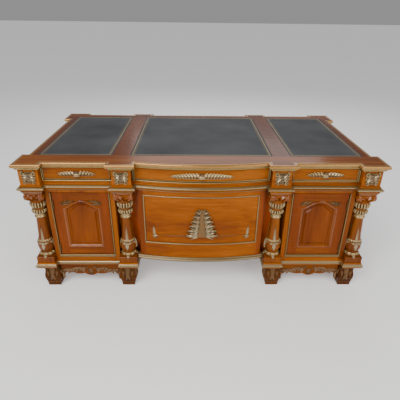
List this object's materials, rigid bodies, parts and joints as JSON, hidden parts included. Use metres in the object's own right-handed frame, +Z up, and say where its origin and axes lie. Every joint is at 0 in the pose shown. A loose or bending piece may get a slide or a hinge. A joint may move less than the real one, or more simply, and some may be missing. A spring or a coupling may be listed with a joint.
{
  "type": "executive desk",
  "caption": "Double-pedestal executive desk with a bowed front, corner columns, cupboards, drawers, leather insets and gilt mouldings.",
  "frame": {"origin": "on the floor, under the centre of the desk", "axes": "+X to the visitor's right along the desk, +Y towards the seat side, +Z up"},
  "size_m": [1.92, 1.06, 0.79],
  "materials": {
    "mahogany": "glossy red-brown polish",
    "gilt": "antique gilt on carved wood",
    "inner_wood": "plain lining boards",
    "leather": "dark, with a tooled line",
    "brass": "satin"
  },
  "bodies": {
    "carcass": {"block_rosettes": "gilt", "columns": "mahogany", "door_surrounds": "gilt", "drawer_runners": "inner_wood", "frieze_blocks": "mahogany", "frieze_frame": "mahogany", "hinge_plates": "brass", "leather_centre": "leather", "leather_left": "leather", "leather_right": "leather", "left_aprons": "mahogany", "left_base_moulding": "gilt", "left_feet": "gilt", "left_pedestal_case": "mahogany", "left_shelf": "inner_wood", "modesty_carving": "gilt", "modesty_frame": "mahogany", "modesty_mouldings": "gilt", "modesty_panel": "mahogany", "right_aprons": "mahogany", "right_base_moulding": "gilt", "right_feet": "gilt", "right_pedestal_case": "mahogany", "right_shelf": "inner_wood", "shelf_pegs": "inner_wood", "side_panels": "mahogany", "top_edge_moulding": "gilt", "top_slab": "mahogany", "waist_moulding": "gilt"},
    "left_door": {"left_door_frame": "mahogany", "left_door_panel": "mahogany", "left_door_mouldings": "gilt", "left_door_hinges": "brass"},
    "right_door": {"right_door_frame": "mahogany", "right_door_panel": "mahogany", "right_door_mouldings": "gilt", "right_door_hinges": "brass"},
    "front_left_drawer": {"front_left_drawer": "mahogany", "front_left_drawer_bead": "gilt", "front_left_drawer_pull": "gilt"},
    "rear_left_drawer": {"rear_left_drawer": "mahogany", "rear_left_drawer_trim": "gilt"},
    "front_centre_drawer": {"front_centre_drawer": "mahogany", "front_centre_drawer_bead": "gilt", "front_centre_drawer_pull": "gilt"},
    "rear_centre_drawer": {"rear_centre_drawer": "mahogany", "rear_centre_drawer_trim": "gilt"},
    "front_right_drawer": {"front_right_drawer": "mahogany", "front_right_drawer_bead": "gilt", "front_right_drawer_pull": "gilt"},
    "rear_right_drawer": {"rear_right_drawer": "mahogany", "rear_right_drawer_trim": "gilt"},
    "left_lower_drawer": {"left_lower_drawer": "mahogany", "left_lower_drawer_trim": "gilt"},
    "left_upper_drawer": {"left_upper_drawer": "mahogany", "left_upper_drawer_trim": "gilt"},
    "right_lower_drawer": {"right_lower_drawer": "mahogany", "right_lower_drawer_trim": "gilt"},
    "right_upper_drawer": {"right_upper_drawer": "mahogany", "right_upper_drawer_trim": "gilt"}
  },
  "joints": [
    {"name": "left_door_hinge", "type": "hinge", "parent": "carcass", "child": "left_door", "pos_m": [-0.7982, -0.474, 0.4], "axis": [0, 0, -1], "range_deg": [0, 95]},
    {"name": "right_door_hinge", "type": "hinge", "parent": "carcass", "child": "right_door", "pos_m": [0.7982, -0.474, 0.4], "axis": [0, 0, 1], "range_deg": [0, 95]},
    {"name": "front_left_drawer_slide", "type": "slide", "parent": "carcass", "child": "front_left_drawer", "axis": [0, -1, 0], "range_m": [0, 0.3]},
    {"name": "rear_left_drawer_slide", "type": "slide", "parent": "carcass", "child": "rear_left_drawer", "axis": [0, 1, 0], "range_m": [0, 0.3]},
    {"name": "front_centre_drawer_slide", "type": "slide", "parent": "carcass", "child": "front_centre_drawer", "axis": [0, -1, 0], "range_m": [0, 0.3]},
    {"name": "rear_centre_drawer_slide", "type": "slide", "parent": "carcass", "child": "rear_centre_drawer", "axis": [0, 1, 0], "range_m": [0, 0.3]},
    {"name": "front_right_drawer_slide", "type": "slide", "parent": "carcass", "child": "front_right_drawer", "axis": [0, -1, 0], "range_m": [0, 0.3]},
    {"name": "rear_right_drawer_slide", "type": "slide", "parent": "carcass", "child": "rear_right_drawer", "axis": [0, 1, 0], "range_m": [0, 0.3]},
    {"name": "left_lower_drawer_slide", "type": "slide", "parent": "carcass", "child": "left_lower_drawer", "axis": [0, 1, 0], "range_m": [0, 0.35]},
    {"name": "left_upper_drawer_slide", "type": "slide", "parent": "carcass", "child": "left_upper_drawer", "axis": [0, 1, 0], "range_m": [0, 0.35]},
    {"name": "right_lower_drawer_slide", "type": "slide", "parent": "carcass", "child": "right_lower_drawer", "axis": [0, 1, 0], "range_m": [0, 0.35]},
    {"name": "right_upper_drawer_slide", "type": "slide", "parent": "carcass", "child": "right_upper_drawer", "axis": [0, 1, 0], "range_m": [0, 0.35]}
  ]
}
